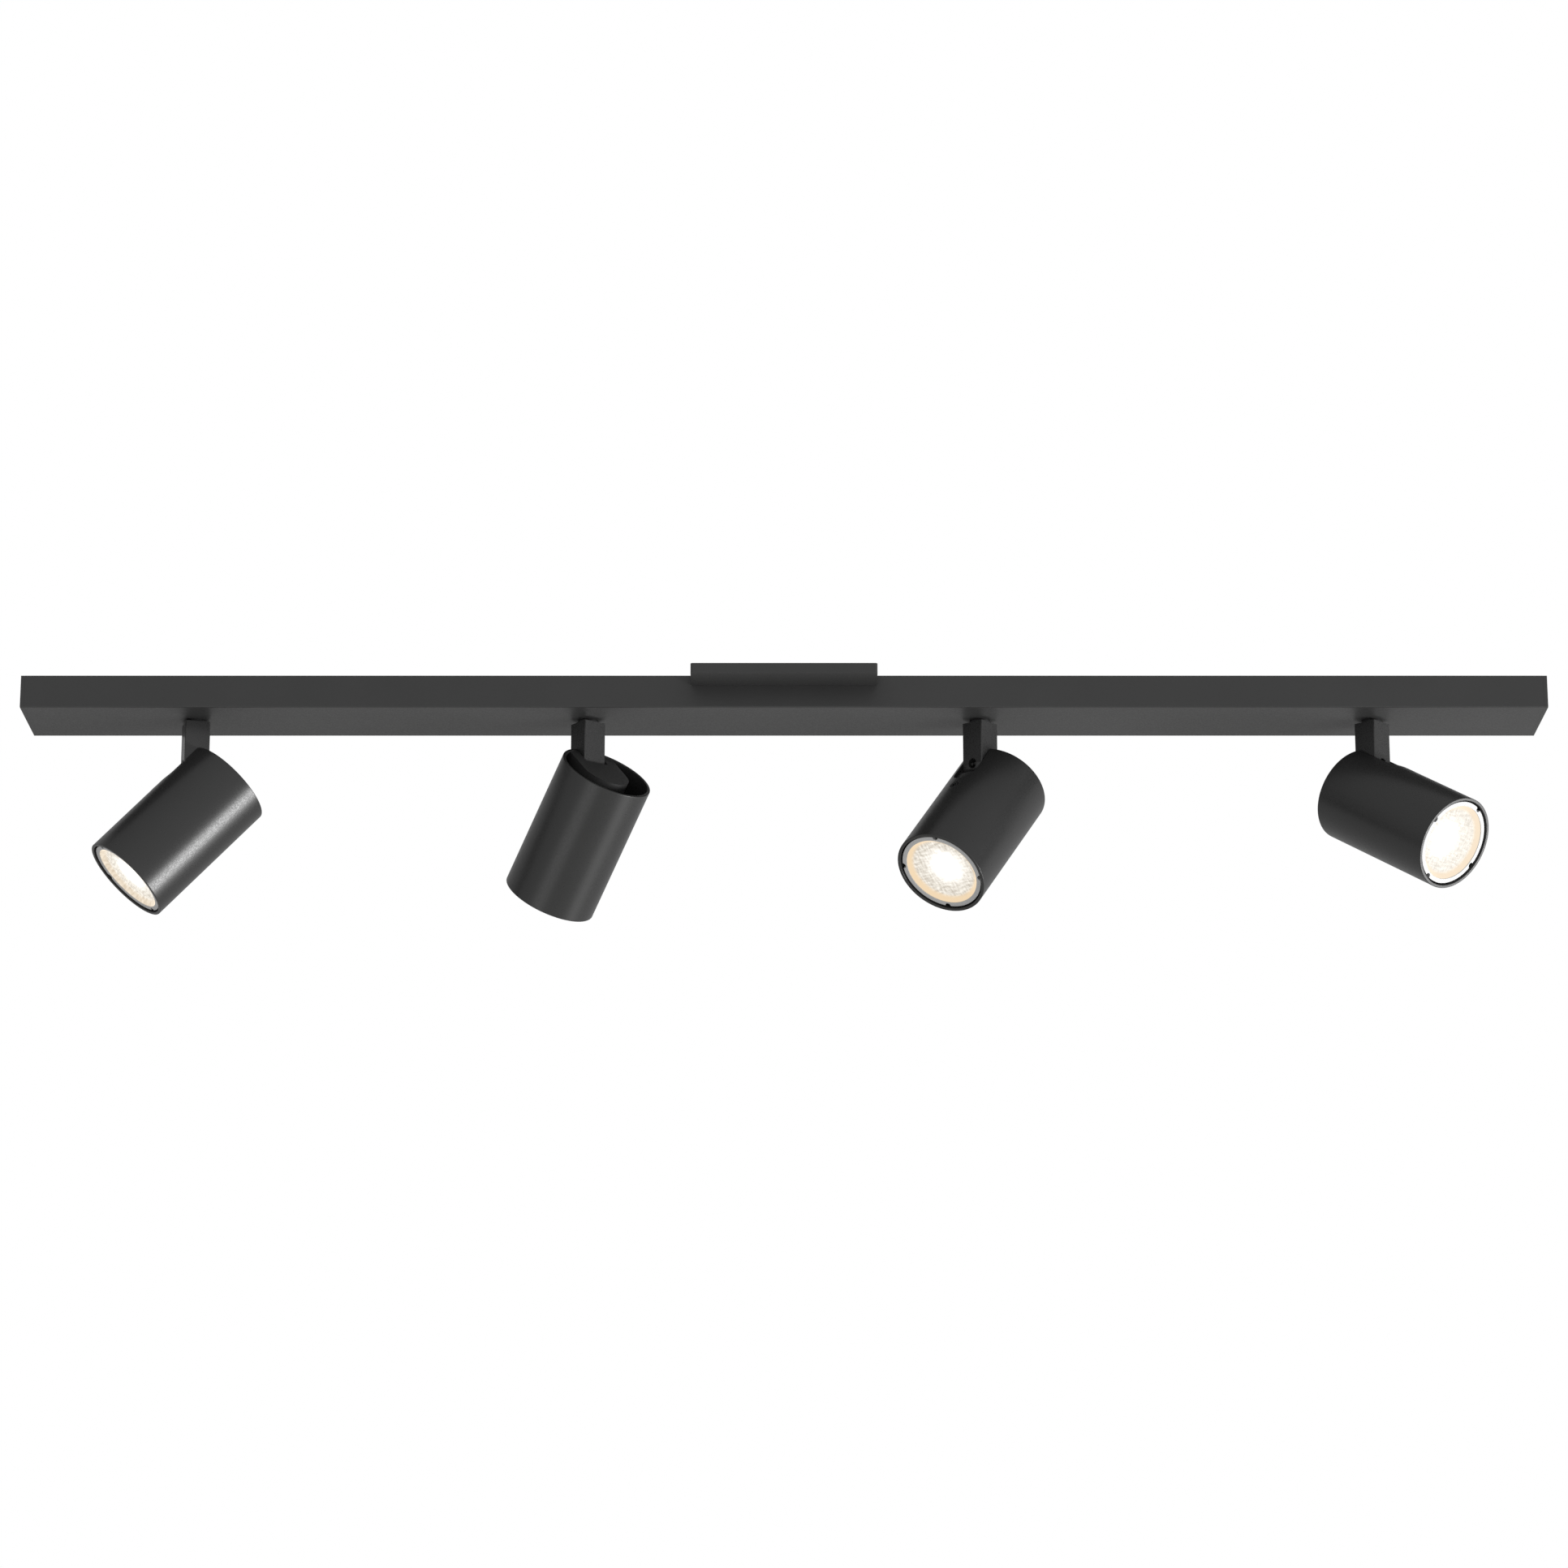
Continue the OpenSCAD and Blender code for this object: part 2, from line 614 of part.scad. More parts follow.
bar_casing();
end_cap_left();
end_cap_right();
canopy();
mounting_strap();
canopy_screws();
end_bracket_left();
end_bracket_right();
end_screws();
friction_washers();
terminal_block();
terminal_screws();
earth_terminal();
live_leads();
neutral_leads();
lead_clips();
for (k = [1:heads]) {
    post(k);
    lock_nut(k);
    post_leads(k);
    hinge_pins(k);
    carrier(k);
    tube(k);
    head_screws(k);
    lampholder(k);
    lamp_body(k);
    lamp_glass(k);
    lamp_ring(k);
}
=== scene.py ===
"""Looks of a ceiling bar light with four adjustable tube spots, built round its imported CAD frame."""

import json
import math

import bpy
import numpy as np
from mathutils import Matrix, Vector


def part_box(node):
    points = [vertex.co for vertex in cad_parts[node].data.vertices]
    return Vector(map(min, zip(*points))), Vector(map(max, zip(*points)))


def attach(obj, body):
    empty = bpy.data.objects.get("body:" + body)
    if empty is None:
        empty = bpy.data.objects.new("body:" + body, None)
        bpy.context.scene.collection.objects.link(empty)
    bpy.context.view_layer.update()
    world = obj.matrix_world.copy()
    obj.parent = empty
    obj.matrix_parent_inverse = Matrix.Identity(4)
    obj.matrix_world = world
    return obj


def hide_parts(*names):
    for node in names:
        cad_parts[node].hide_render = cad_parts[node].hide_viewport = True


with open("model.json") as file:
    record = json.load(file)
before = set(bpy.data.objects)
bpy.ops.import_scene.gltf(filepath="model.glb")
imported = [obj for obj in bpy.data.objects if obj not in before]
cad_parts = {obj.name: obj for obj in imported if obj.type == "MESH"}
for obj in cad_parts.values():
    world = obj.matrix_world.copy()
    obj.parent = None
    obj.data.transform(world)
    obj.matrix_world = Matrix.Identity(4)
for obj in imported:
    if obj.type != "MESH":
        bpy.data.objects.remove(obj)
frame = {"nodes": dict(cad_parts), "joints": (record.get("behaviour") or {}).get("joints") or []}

bl_info = {
    "name": "Ceiling bar light",
    "version": (1, 0, 0),
    "blender": (4, 5, 0),
    "location": "3D View > Sidebar > Bar Light",
    "description": "Builds the pieces and finishes of a ceiling bar light with adjustable tube spots",
    "category": "Object",
}

MM = 0.001
HEADS = (1, 2, 3, 4)
JOINTS = {joint["name"]: joint for joint in frame["joints"]}
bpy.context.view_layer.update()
COLOUR_A, COLOUR_B, COLOUR_OUT = 6, 7, 2       # colour sockets of a Mix node
NOISE_LOW, NOISE_HIGH = 0.3, 0.7               # usual range of a noise texture
# shares of the edge radius: sheet parts that fit into each other, plated hardware, and small parts
FITTED_EDGE, PLATED_EDGE, SMALL_EDGE = 0.4, 0.5, 0.6
BRASS = "#c9ab6c"


def linear(code):
    """Linear colour of an sRGB hex code: each channel c becomes ((c + 0.055) / 1.055) ** 2.4, or c / 12.92 if dark."""
    channels = [int(code[i:i + 2], 16) / 255 for i in (1, 3, 5)]
    return [c / 12.92 if c <= 0.04045 else ((c + 0.055) / 1.055) ** 2.4 for c in channels]


def of_heads(*parts):
    """Names of these parts at every head, such as post_1 to post_4."""
    return [f"{part}_{k}" for part in parts for k in HEADS]


# ---- sizes and colours that a user would change ----
class FinishSettings(bpy.types.PropertyGroup):
    """Colours of the finishes and the softness of made edges."""

    coat: bpy.props.FloatVectorProperty(
        name="Coat", description="Powder coat of the bar, canopy and posts",
        subtype="COLOR", min=0, max=1, default=linear("#2c2c2c"))
    tube_coat: bpy.props.FloatVectorProperty(
        name="Tube coat", description="Satin powder coat of the lamp tubes",
        subtype="COLOR", min=0, max=1, default=linear("#262626"))
    casting: bpy.props.FloatVectorProperty(
        name="Casting", description="Black coat of the cast carriers inside the tubes",
        subtype="COLOR", min=0, max=1, default=linear("#2b2b2b"))
    collar: bpy.props.FloatVectorProperty(
        name="Collar", description="Grey collar round each lamp",
        subtype="COLOR", min=0, max=1, default=linear("#b4b4b4"))
    grain_pitch: bpy.props.FloatProperty(
        name="Coat grain", description="Distance between the bumps of the powder coat",
        unit="LENGTH", precision=5, min=0.0001, default=0.9 * MM)
    edge_radius: bpy.props.FloatProperty(
        name="Edge radius", description="Radius that the coat leaves on a bent or cut edge",
        unit="LENGTH", precision=5, min=0, default=0.3 * MM)


class TubeSettings(bpy.types.PropertyGroup):
    """Sizes of a lamp tube that its CAD node doesn't give directly."""

    wall: bpy.props.FloatProperty(
        name="Wall", description="Thickness of the tube's wall",
        unit="LENGTH", precision=5, min=0.0005, default=1.96 * MM)
    inside: bpy.props.FloatProperty(
        name="Inside", description="How far the round tube stays inside the corners of its faceted CAD node",
        unit="LENGTH", precision=5, min=0, default=0.24 * MM)
    slot_half: bpy.props.FloatProperty(
        name="Slot half width", description="Half the width of the slot that the post swings in",
        unit="LENGTH", precision=5, min=0.001, default=8.4 * MM)
    slot_straight: bpy.props.FloatProperty(
        name="Slot length", description="Length of the slot's straight sides from the rear rim",
        unit="LENGTH", precision=5, min=0.001, default=22 * MM)
    fillet: bpy.props.FloatProperty(
        name="Rim fillet", description="Radius on both edges of the rims, the slot and the screw hole",
        unit="LENGTH", precision=5, min=0, default=0.4 * MM)
    hole_radius: bpy.props.FloatProperty(
        name="Screw hole radius", description="Radius of the hole that the tube's screw is sunk in",
        unit="LENGTH", precision=5, min=0.001, default=3 * MM)
    hole_at: bpy.props.FloatProperty(
        name="Screw hole place", description="From the rear rim to the middle of the screw hole",
        unit="LENGTH", precision=5, min=0.001, default=38 * MM)


class LampSettings(bpy.types.PropertyGroup):
    """Front glass and light of a lamp."""

    floor: bpy.props.FloatProperty(
        name="Floor", description="Thickness of the glass where its pressed pattern ends",
        unit="LENGTH", precision=5, min=0.0001, default=0.5 * MM)
    crown: bpy.props.FloatProperty(
        name="Crown", description="Height of the dome in the middle of the glass",
        unit="LENGTH", precision=5, min=0, default=0.6 * MM)
    band: bpy.props.FloatProperty(
        name="Band", description="Width of the plain sloped band round the pressed pattern",
        unit="LENGTH", precision=5, min=0, default=2.6 * MM)
    rim: bpy.props.FloatProperty(
        name="Rim height", description="Height of the band's outer edge over the glass's back",
        unit="LENGTH", precision=5, min=0.001, default=3.2 * MM)
    pitch: bpy.props.FloatProperty(
        name="Dimple pitch", description="Distance from one pressed dimple to the next",
        unit="LENGTH", precision=5, min=0.0005, default=1.7 * MM)
    relief: bpy.props.FloatProperty(
        name="Relief", description="Depth of the pressed dimples",
        unit="LENGTH", precision=5, min=0, default=0.12 * MM)
    hot_radius: bpy.props.FloatProperty(
        name="Centre radius", description="Radius of the blinding middle",
        unit="LENGTH", precision=5, min=0, default=4 * MM)
    hot: bpy.props.FloatVectorProperty(
        name="Centre light", description="Colour of the light at the middle of the glass",
        subtype="COLOR", min=0, max=1, default=linear("#fffdfa"))
    pale: bpy.props.FloatVectorProperty(
        name="Pale streaks", description="Colour of the bright streaks round the middle",
        subtype="COLOR", min=0, max=1, default=linear("#fbf6ec"))
    shade: bpy.props.FloatVectorProperty(
        name="Dark streaks", description="Colour of the dark streaks round the middle",
        subtype="COLOR", min=0, max=1, default=linear("#c4bcb0"))
    warm: bpy.props.FloatVectorProperty(
        name="Edge light", description="Colour of the light in the outer band",
        subtype="COLOR", min=0, max=1, default=linear("#ecd3b0"))
    glare: bpy.props.FloatVectorProperty(
        name="Glare", description="How far each lamp's light washes its glass out to white",
        size=4, min=0, max=1, default=(0.0, 0.0, 0.0, 0.25))
    peach: bpy.props.FloatVectorProperty(
        name="Peach band", description="How far each glass's plain band takes the colour of the edge light",
        size=4, min=0, max=1, default=(0.45, 1.0, 1.0, 1.0))


class StageSettings(bpy.types.PropertyGroup):
    """Camera, floor and studio light."""

    distance: bpy.props.FloatProperty(
        name="Camera distance", description="From the camera to the bar's middle, in plan",
        unit="LENGTH", min=0.5, default=3.03)
    drop: bpy.props.FloatProperty(
        name="Camera drop", description="From the ceiling down to the camera",
        unit="LENGTH", min=0, default=0.9356)
    pitch: bpy.props.FloatProperty(
        name="Camera pitch", description="How far the camera looks up",
        subtype="ANGLE", unit="ROTATION", default=math.radians(16.075))
    lens: bpy.props.FloatProperty(
        name="Lens", description="Focal length on a 36 mm sensor",
        subtype="DISTANCE_CAMERA", min=10, default=113.4)
    floor_drop: bpy.props.FloatProperty(
        name="Floor drop", description="From the ceiling down to the floor",
        unit="LENGTH", min=1, default=3.5)


class BarLightSettings(bpy.types.PropertyGroup):
    """All settings of the bar light."""

    finish: bpy.props.PointerProperty(type=FinishSettings, name="Finish", description="Finishes")
    tube: bpy.props.PointerProperty(type=TubeSettings, name="Tube", description="Lamp tubes")
    lamp: bpy.props.PointerProperty(type=LampSettings, name="Lamp", description="Lamps")
    stage: bpy.props.PointerProperty(type=StageSettings, name="Stage", description="Camera and light")


# ---- nodes and materials ----
def add_node(tree, kind, inputs=None, **settings):
    """Adds one node; settings are its attributes, and inputs are values or sockets to link, by name or number."""
    node = tree.nodes.new(kind)
    for name, value in settings.items():
        setattr(node, name, value)
    for name, value in (inputs or {}).items():
        if isinstance(value, bpy.types.NodeSocket):
            tree.links.new(value, node.inputs[name])
        else:
            node.inputs[name].default_value = value
    return node


def rgba(colour, factor=1.0):
    """The colour as four numbers, with its brightness multiplied by factor."""
    return (*[c * factor for c in colour], 1.0)


def start_material(name, colour, roughness, metallic=0.0, **sockets):
    """A material with one Principled shader; constant numbers are set on the shader's own sockets."""
    material = bpy.data.materials.new(name)
    material.use_nodes = True
    tree = material.node_tree
    shader = tree.nodes["Principled BSDF"]
    values = {"Base Color": rgba(colour), "Roughness": roughness, "Metallic": metallic, **sockets}
    for socket, value in values.items():
        shader.inputs[socket].default_value = value
    return material, tree, shader


def object_point(tree):
    """Object coordinates, in metres, of the shaded point."""
    return add_node(tree, "ShaderNodeTexCoord").outputs["Object"]


def grain(tree, point, pitch, detail=2.0):
    """Noise whose blotches are pitch metres apart."""
    noise = add_node(tree, "ShaderNodeTexNoise", {"Vector": point, "Scale": 1 / pitch, "Detail": detail})
    return noise.outputs["Fac"]


def spread(tree, value, low, high):
    """Maps noise from its usual range onto low to high."""
    limits = {"Value": value, "From Min": NOISE_LOW, "From Max": NOISE_HIGH, "To Min": low, "To Max": high}
    return add_node(tree, "ShaderNodeMapRange", limits).outputs["Result"]


def bump(tree, shader, height, depth):
    """Raises the shader's normal by height times depth metres."""
    node = add_node(tree, "ShaderNodeBump", {"Height": height, "Distance": depth})
    tree.links.new(node.outputs["Normal"], shader.inputs["Normal"])


def mix_colours(tree, share, first, second):
    """Colour between first at share 0 and second at share 1."""
    inputs = {"Factor": share, COLOUR_A: first, COLOUR_B: second}
    return add_node(tree, "ShaderNodeMix", inputs, data_type="RGBA").outputs[COLOUR_OUT]


def vary_colour(tree, shader, noise, colour, drift):
    """Lets the base colour drift round its value with noise, by this share of it each way."""
    mixed = mix_colours(tree, spread(tree, noise, 0, 1), rgba(colour, 1 - drift), rgba(colour, 1 + drift))
    tree.links.new(mixed, shader.inputs["Base Color"])


def vary_roughness(tree, shader, noise, roughness, uneven):
    """Lets the roughness drift round its value with noise, by up to uneven each way."""
    tree.links.new(spread(tree, noise, roughness - uneven, roughness + uneven), shader.inputs["Roughness"])


def powder_coat(name, colour, pitch, roughness, depth, cloud=40 * MM):
    """Polyester powder coat, sprayed and baked: a matt sheen broken by a fine sandy grain, pitch metres apart and
    depth high, and a faint drift of its colour in clouds where the film is thicker or thinner. The real grain is
    about 0.2 mm apart, and it is drawn coarser so that it shows."""
    material, tree, shader = start_material(name, colour, roughness, IOR=1.5)
    point = object_point(tree)
    sand = grain(tree, point, pitch, detail=3)
    vary_colour(tree, shader, grain(tree, point, cloud), colour, drift=0.05)
    vary_roughness(tree, shader, sand, roughness, uneven=0.06)
    bump(tree, shader, sand, depth)
    return material


def textured(name, colour, roughness, pitch, drift, uneven, depth, **sockets):
    """A finish with one fine texture, pitch metres across, which shifts its colour, its roughness and its height."""
    material, tree, shader = start_material(name, colour, roughness, **sockets)
    texture = grain(tree, object_point(tree), pitch)
    vary_colour(tree, shader, texture, colour, drift)
    vary_roughness(tree, shader, texture, roughness, uneven)
    bump(tree, shader, texture, depth)
    return material


def metal(name, colour, roughness, pitch=0.6 * MM, drift=0.12):
    """Bare or plated metal: bright, slightly uneven reflections from the grain of its surface."""
    return textured(name, colour, roughness, pitch, drift, uneven=0.08, depth=0.005 * MM, metallic=1.0)


def moulded(name, colour, roughness, pitch=0.8 * MM, **sockets):
    """Moulded or fired piece: an even colour with a soft sheen and the faint texture of its mould."""
    return textured(name, colour, roughness, pitch, drift=0.04, uneven=0.05, depth=0.006 * MM, **sockets)


def paint(material, *names):
    """Gives the CAD nodes of these names the material."""
    for name in names:
        for place in frame["nodes"][name].material_slots:
            place.material = material


# ---- edges of CAD nodes ----
JOIN_WITHIN = 0.005 * MM          # points of the loose triangles this near to each other are one
FLAT_ANGLE = math.radians(0.5)    # faces that meet at less are one flat face
SMOOTH_ANGLE = math.radians(35)   # edges that turn by less are shaded smooth
ROUND_ANGLE = math.radians(40)    # edges that turn by more are rounded
ROUND_STEPS = 3


def smooth_group():
    """Geometry nodes that shade a mesh smooth except over edges that turn by more than the smooth angle."""
    tree = bpy.data.node_groups.new("smooth_by_angle", "GeometryNodeTree")
    tree.interface.new_socket("Geometry", in_out="INPUT", socket_type="NodeSocketGeometry")
    tree.interface.new_socket("Geometry", in_out="OUTPUT", socket_type="NodeSocketGeometry")
    start = add_node(tree, "NodeGroupInput")
    angle = add_node(tree, "GeometryNodeInputMeshEdgeAngle")
    sharp = add_node(tree, "FunctionNodeCompare", {0: angle.outputs["Unsigned Angle"], 1: SMOOTH_ANGLE},
                     data_type="FLOAT", operation="GREATER_THAN")
    smooth = add_node(tree, "GeometryNodeSetMeshNormal", {
        "Mesh": start.outputs["Geometry"], "Remove Custom": True,
        "Edge Sharpness": sharp.outputs["Result"], "Face Sharpness": False})
    add_node(tree, "NodeGroupOutput", {"Geometry": smooth.outputs["Mesh"]})
    return tree


def soften(radius, *names):
    """Joins the loose triangles of CAD nodes, clears their flat faces and rounds their edges by radius."""
    smooth = bpy.data.node_groups.get("smooth_by_angle") or smooth_group()
    for name in names:
        part = frame["nodes"][name]
        join = part.modifiers.new("join", "WELD")
        join.merge_threshold = JOIN_WITHIN
        flat = part.modifiers.new("flat", "DECIMATE")
        flat.decimate_type = "DISSOLVE"
        flat.angle_limit = FLAT_ANGLE
        part.modifiers.new("shade", "NODES").node_group = smooth
        edge = part.modifiers.new("edge", "BEVEL")
        edge.width = radius
        edge.segments = ROUND_STEPS
        edge.limit_method = "ANGLE"
        edge.angle_limit = ROUND_ANGLE
        edge.use_clamp_overlap = True
        part.modifiers.new("shade again", "NODES").node_group = smooth
        weigh = part.modifiers.new("flat shading", "WEIGHTED_NORMAL")
        weigh.keep_sharp = True


# ---- meshes from grids ----
def grid_faces(first, second):
    """Quads between closed rows of point numbers, each row of first with the same row of second: a point, the next
    one in its row, and the two across from them."""
    next_first, next_second = (np.roll(rows, -1, axis=-1) for rows in (first, second))
    return np.stack([first, next_first, next_second, second], axis=-1).reshape(-1, 4)


def make_piece(name, points, faces, material, fans=None):
    """A mesh object at the origin from points in metres, quads and, at poles, triangles, shaded smooth."""
    mesh = bpy.data.meshes.new(name)
    every = faces.tolist() + ([] if fans is None else fans.tolist())
    mesh.from_pydata(points, [], every)
    mesh.polygons.foreach_set("use_smooth", np.ones(len(every), bool))
    mesh.materials.append(material)
    mesh.update()
    piece = bpy.data.objects.new(name, mesh)
    bpy.context.scene.collection.objects.link(piece)
    return piece


def head_axes(k):
    """Pivot of head k and its turn: rows of local points times the turn are offsets from the pivot. The tilt axis is
    (sin pan, -cos pan, 0), the beam runs along local -Z and the slot faces local +X."""
    joint = JOINTS[f"tilt_{k}"]
    side_x, side_y, _ = joint["axis"]
    tilt = -math.radians(joint["range_deg"][0])
    outward = np.array([-side_y, side_x, 0])
    up = np.array([0, 0, 1])
    turn = np.array([outward * math.cos(tilt) + up * math.sin(tilt), [-side_x, -side_y, 0],
                     up * math.cos(tilt) - outward * math.sin(tilt)])
    return np.array(joint["pos_m"]), turn


def node_points(name):
    """Points of a CAD node as rows of x, y and z."""
    mesh = frame["nodes"][name].data
    points = np.empty(len(mesh.vertices) * 3)
    mesh.vertices.foreach_get("co", points)
    return points.reshape(-1, 3)


def local_box(name, k):
    """Lowest and highest corner of a CAD node along head k's own axes, from its pivot."""
    pivot, turn = head_axes(k)
    local = (node_points(name) - pivot) @ turn.T
    return local.min(axis=0), local.max(axis=0)


def tube_place(k):
    """Tube k's rear centre, turn, radius and length, from its CAD node."""
    pivot, turn = head_axes(k)
    low, high = local_box(f"tube_{k}", k)
    centre = np.array([(low[0] + high[0]) / 2, 0, high[2]])
    return pivot + centre @ turn, turn, (high[1] - low[1]) / 2, high[2] - low[2]


# ---- lamp tubes ----
BODY_COLUMNS = 168       # round the tube, beside the slot
SLOT_COLUMNS = 28        # round the slot's half-circle end
SIDE_ROWS = 10           # along the slot's straight side
FRONT_ROWS = 64          # from there to the front
FILLET_STEPS = 4
HOLE_ROW = SIDE_ROWS + 8                          # the screw hole's middle in the wall's grid
HOLE_COLUMN = BODY_COLUMNS + SLOT_COLUMNS // 2
HOLE_CELLS = 3           # cells from there to the hole's edge
HOLE_REACH = 2.5         # the grid is bent out to this many times as far
FLAT_WEIGHT = 60         # how far the shading of fillets follows the flat faces beside them


def column_angles(radius, half):
    """Angle of each column round the tube: even from one side of a slot of this half width round to the other,
    then across the slot's end, where the sine of the angle times the radius is half times the cosine of g,
    with g even from 180 degrees down to 0."""
    edge = math.asin(half / radius)
    body = np.linspace(edge, 2 * math.pi - edge, BODY_COLUMNS + 1)
    turn = np.linspace(math.pi, 0, SLOT_COLUMNS + 1)[1:-1]
    return np.concatenate([body, np.arcsin(half * np.cos(turn) / radius) + 2 * math.pi])


def slot_depth(half, straight):
    """Distance from the rear rim at which each column starts below the slot: straight plus half times the sine of g."""
    turn = np.linspace(math.pi, 0, SLOT_COLUMNS + 1)[1:-1]
    return np.concatenate([np.full(BODY_COLUMNS + 1, straight), straight + half * np.sin(turn)])


def on_tube(radius, angle, depth):
    """Point at an angle round the tube and a depth from its rear rim: (r cos a, r sin a, -depth)."""
    angle, depth = np.broadcast_arrays(angle, depth)
    return np.stack([radius * np.cos(angle), radius * np.sin(angle), -depth], axis=-1)


def wall_surface(radius, length, size, inset):
    """One side of the wall as rows by columns of points: rows run down the slot's side and then, in every column,
    from the slot's end to the front, sharing the distance evenly. The edges stand back by inset for their fillets."""
    half = size.slot_half + inset
    angle = column_angles(radius, half)
    start = slot_depth(half, size.slot_straight)
    side = np.linspace(inset, size.slot_straight, SIDE_ROWS + 1)[:-1]
    share = np.linspace(0, 1, FRONT_ROWS + 1)[:, None]
    front = start + share * (length - inset - start)
    rows = np.concatenate([np.broadcast_to(side[:, None], (SIDE_ROWS, len(angle))), front])
    return bend_round_hole(radius, np.broadcast_to(angle, rows.shape), rows, size)


def bend_round_hole(radius, angle, depth, size):
    """Points of the wall, with the grid bent round the screw hole. Counted in cells from the hole's middle, a point's
    distance m is the larger of its row and column counts over the hole's own. The ring m = 1 lies on the hole's
    circle, wider by the fillet, and the rings out to the reach pass smoothly back into the straight grid."""
    row, column = np.indices(depth.shape)
    place = np.stack([column - HOLE_COLUMN, row - HOLE_ROW], axis=-1) / HOLE_CELLS
    least = 0.01         # keeps the middle point, which no face uses, from a division by zero
    far = np.maximum(np.abs(place).max(axis=-1), least)[..., None]
    outward = place / np.maximum(np.linalg.norm(place, axis=-1, keepdims=True), least)
    across = HOLE_CELLS * math.pi / SLOT_COLUMNS * size.slot_half
    circle = np.array([0, size.hole_at]) + outward * (size.hole_radius + size.fillet + (far - 1) * across)
    fade = np.clip((HOLE_REACH - far) / (HOLE_REACH - 1), 0, 1)
    fade = fade * fade * (3 - 2 * fade)
    straight = np.stack([radius * np.sin(angle), depth], axis=-1)
    bent = straight + fade * (circle - straight)
    near = fade[..., 0] > 0
    return on_tube(radius, np.where(near, np.arcsin(np.where(near, bent[..., 0] / radius, 0)), angle),
                   np.where(near, bent[..., 1], depth))


def hole_edge():
    """Row and column numbers of the grid's points round the screw hole, in order."""
    run, end = np.arange(-HOLE_CELLS, HOLE_CELLS), np.full(2 * HOLE_CELLS, HOLE_CELLS)
    return HOLE_ROW + np.concatenate([-end, run, end, -run]), HOLE_COLUMN + np.concatenate([run, end, -run, -end])


def hole_ring(radius, size, inset):
    """Points of the screw hole's edge at one depth in the wall: a circle of the hole's radius plus inset, seen along
    the hole, laid on the cylinder of this radius."""
    row, column = hole_edge()
    way = np.stack([column - HOLE_COLUMN, row - HOLE_ROW], axis=-1)
    way = way / np.linalg.norm(way, axis=-1, keepdims=True) * (size.hole_radius + inset)
    return on_tube(radius, np.arcsin(way[:, 0] / radius), size.hole_at + way[:, 1])


def rear_edge(grid):
    """The closed edge round the rear rim and the slot, of a wall's points or of their numbers: along the rim, down
    one side, round the slot's end and up the other side."""
    last = BODY_COLUMNS
    return np.concatenate([grid[0, :last + 1], grid[1:SIDE_ROWS + 1, last], grid[SIDE_ROWS, last + 1:],
                           grid[SIDE_ROWS:0:-1, 0]])


def edge_profile(outer, inner, fillet):
    """Radius and inset across the wall's thickness: a quarter circle of the fillet, the flat cut face, and a quarter
    circle back, without the two rows that belong to the wall's surfaces."""
    bend = np.linspace(0, math.pi / 2, FILLET_STEPS + 1)[1:]
    radius = outer - fillet * (1 - np.cos(bend))
    inset = fillet * (1 - np.sin(bend))
    back = inner + fillet * (1 - np.cos(bend))
    return list(zip(np.concatenate([radius, back[::-1]]), np.concatenate([inset, inset[::-1]])))


def wall_cells(rows, columns):
    """Which cells of a wall have a face: all but those in the slot and in the screw hole."""
    used = np.ones((rows, columns), bool)
    used[:SIDE_ROWS, BODY_COLUMNS:] = False
    used[HOLE_ROW - HOLE_CELLS:HOLE_ROW + HOLE_CELLS, HOLE_COLUMN - HOLE_CELLS:HOLE_COLUMN + HOLE_CELLS] = False
    return used


def tube_mesh(size, outer, length):
    """Points and quads of a tube with a slot and a screw hole: the two wall surfaces, and a strip of rows from one
    to the other across each cut edge."""
    inner = outer - size.wall
    walls = [wall_surface(radius, length, size, size.fillet) for radius in (outer, inner)]
    profile = edge_profile(outer, inner, size.fillet)
    between = [wall_surface(radius, length, size, inset) for radius, inset in profile]
    rear = [rear_edge(surface) for surface in between]
    front = [surface[-1] for surface in between]
    hole = [hole_ring(radius, size, inset) for radius, inset in profile]
    number = np.arange(walls[0].size // 3).reshape(walls[0].shape[:2])
    numbers = [number, number + number.size]
    used = wall_cells(number.shape[0] - 1, number.shape[1])
    quads = []
    # a step of -1 turns the faces round, so that each points away from the metal
    for wall, step in zip(numbers, (-1, 1)):
        cells = grid_faces(wall[:-1], wall[1:]).reshape(*used.shape, 4)[used]
        quads.append(cells[:, ::step])
    count = 2 * number.size
    for strip, ends, step in ((rear, [rear_edge(wall) for wall in numbers], 1),
                              (front, [wall[-1] for wall in numbers], -1),
                              (hole, [wall[hole_edge()] for wall in numbers], -1)):
        rows = count + np.arange(len(strip) * len(ends[0])).reshape(len(strip), -1)
        count += rows.size
        rows = np.concatenate([ends[0][None], rows, ends[1][None]])
        quads.append(grid_faces(rows[:-1], rows[1:])[:, ::step])
    points = np.concatenate([part.reshape(-1, 3) for part in (*walls, *rear, *front, *hole)])
    kept, renumbered = np.unique(np.concatenate(quads), return_inverse=True)
    return points[kept], renumbered.reshape(-1, 4)


# ---- lamp glass ----
GLASS_COLUMNS = 256
GLASS_RINGS = 64         # from the pole of the front to its rim
BACK_RINGS = 5           # from there to the pole of the back
# The real prisms throw streaks about 1 mm wide, and these are half as wide again so that they show.
STREAK_PITCH = 1.5 * MM
STREAK_STRETCH = ((1, 0.22, 1), (0.3, 1, 1))     # the noise of each set of streaks, drawn out along one way
STREAK_LOW, STREAK_HIGH = -0.3, 1.3              # past 0 and 1, so that many streaks are fully pale or dark
HOT_FADE = 15 * MM       # from the blinding middle to the full linen
HOT_GAIN = 1.35          # the middle's light over that of plain white
BAND_INWARD, BAND_OUTWARD = 1.5 * MM, 0.8 * MM   # how far the peach band's light blends over its inner edge
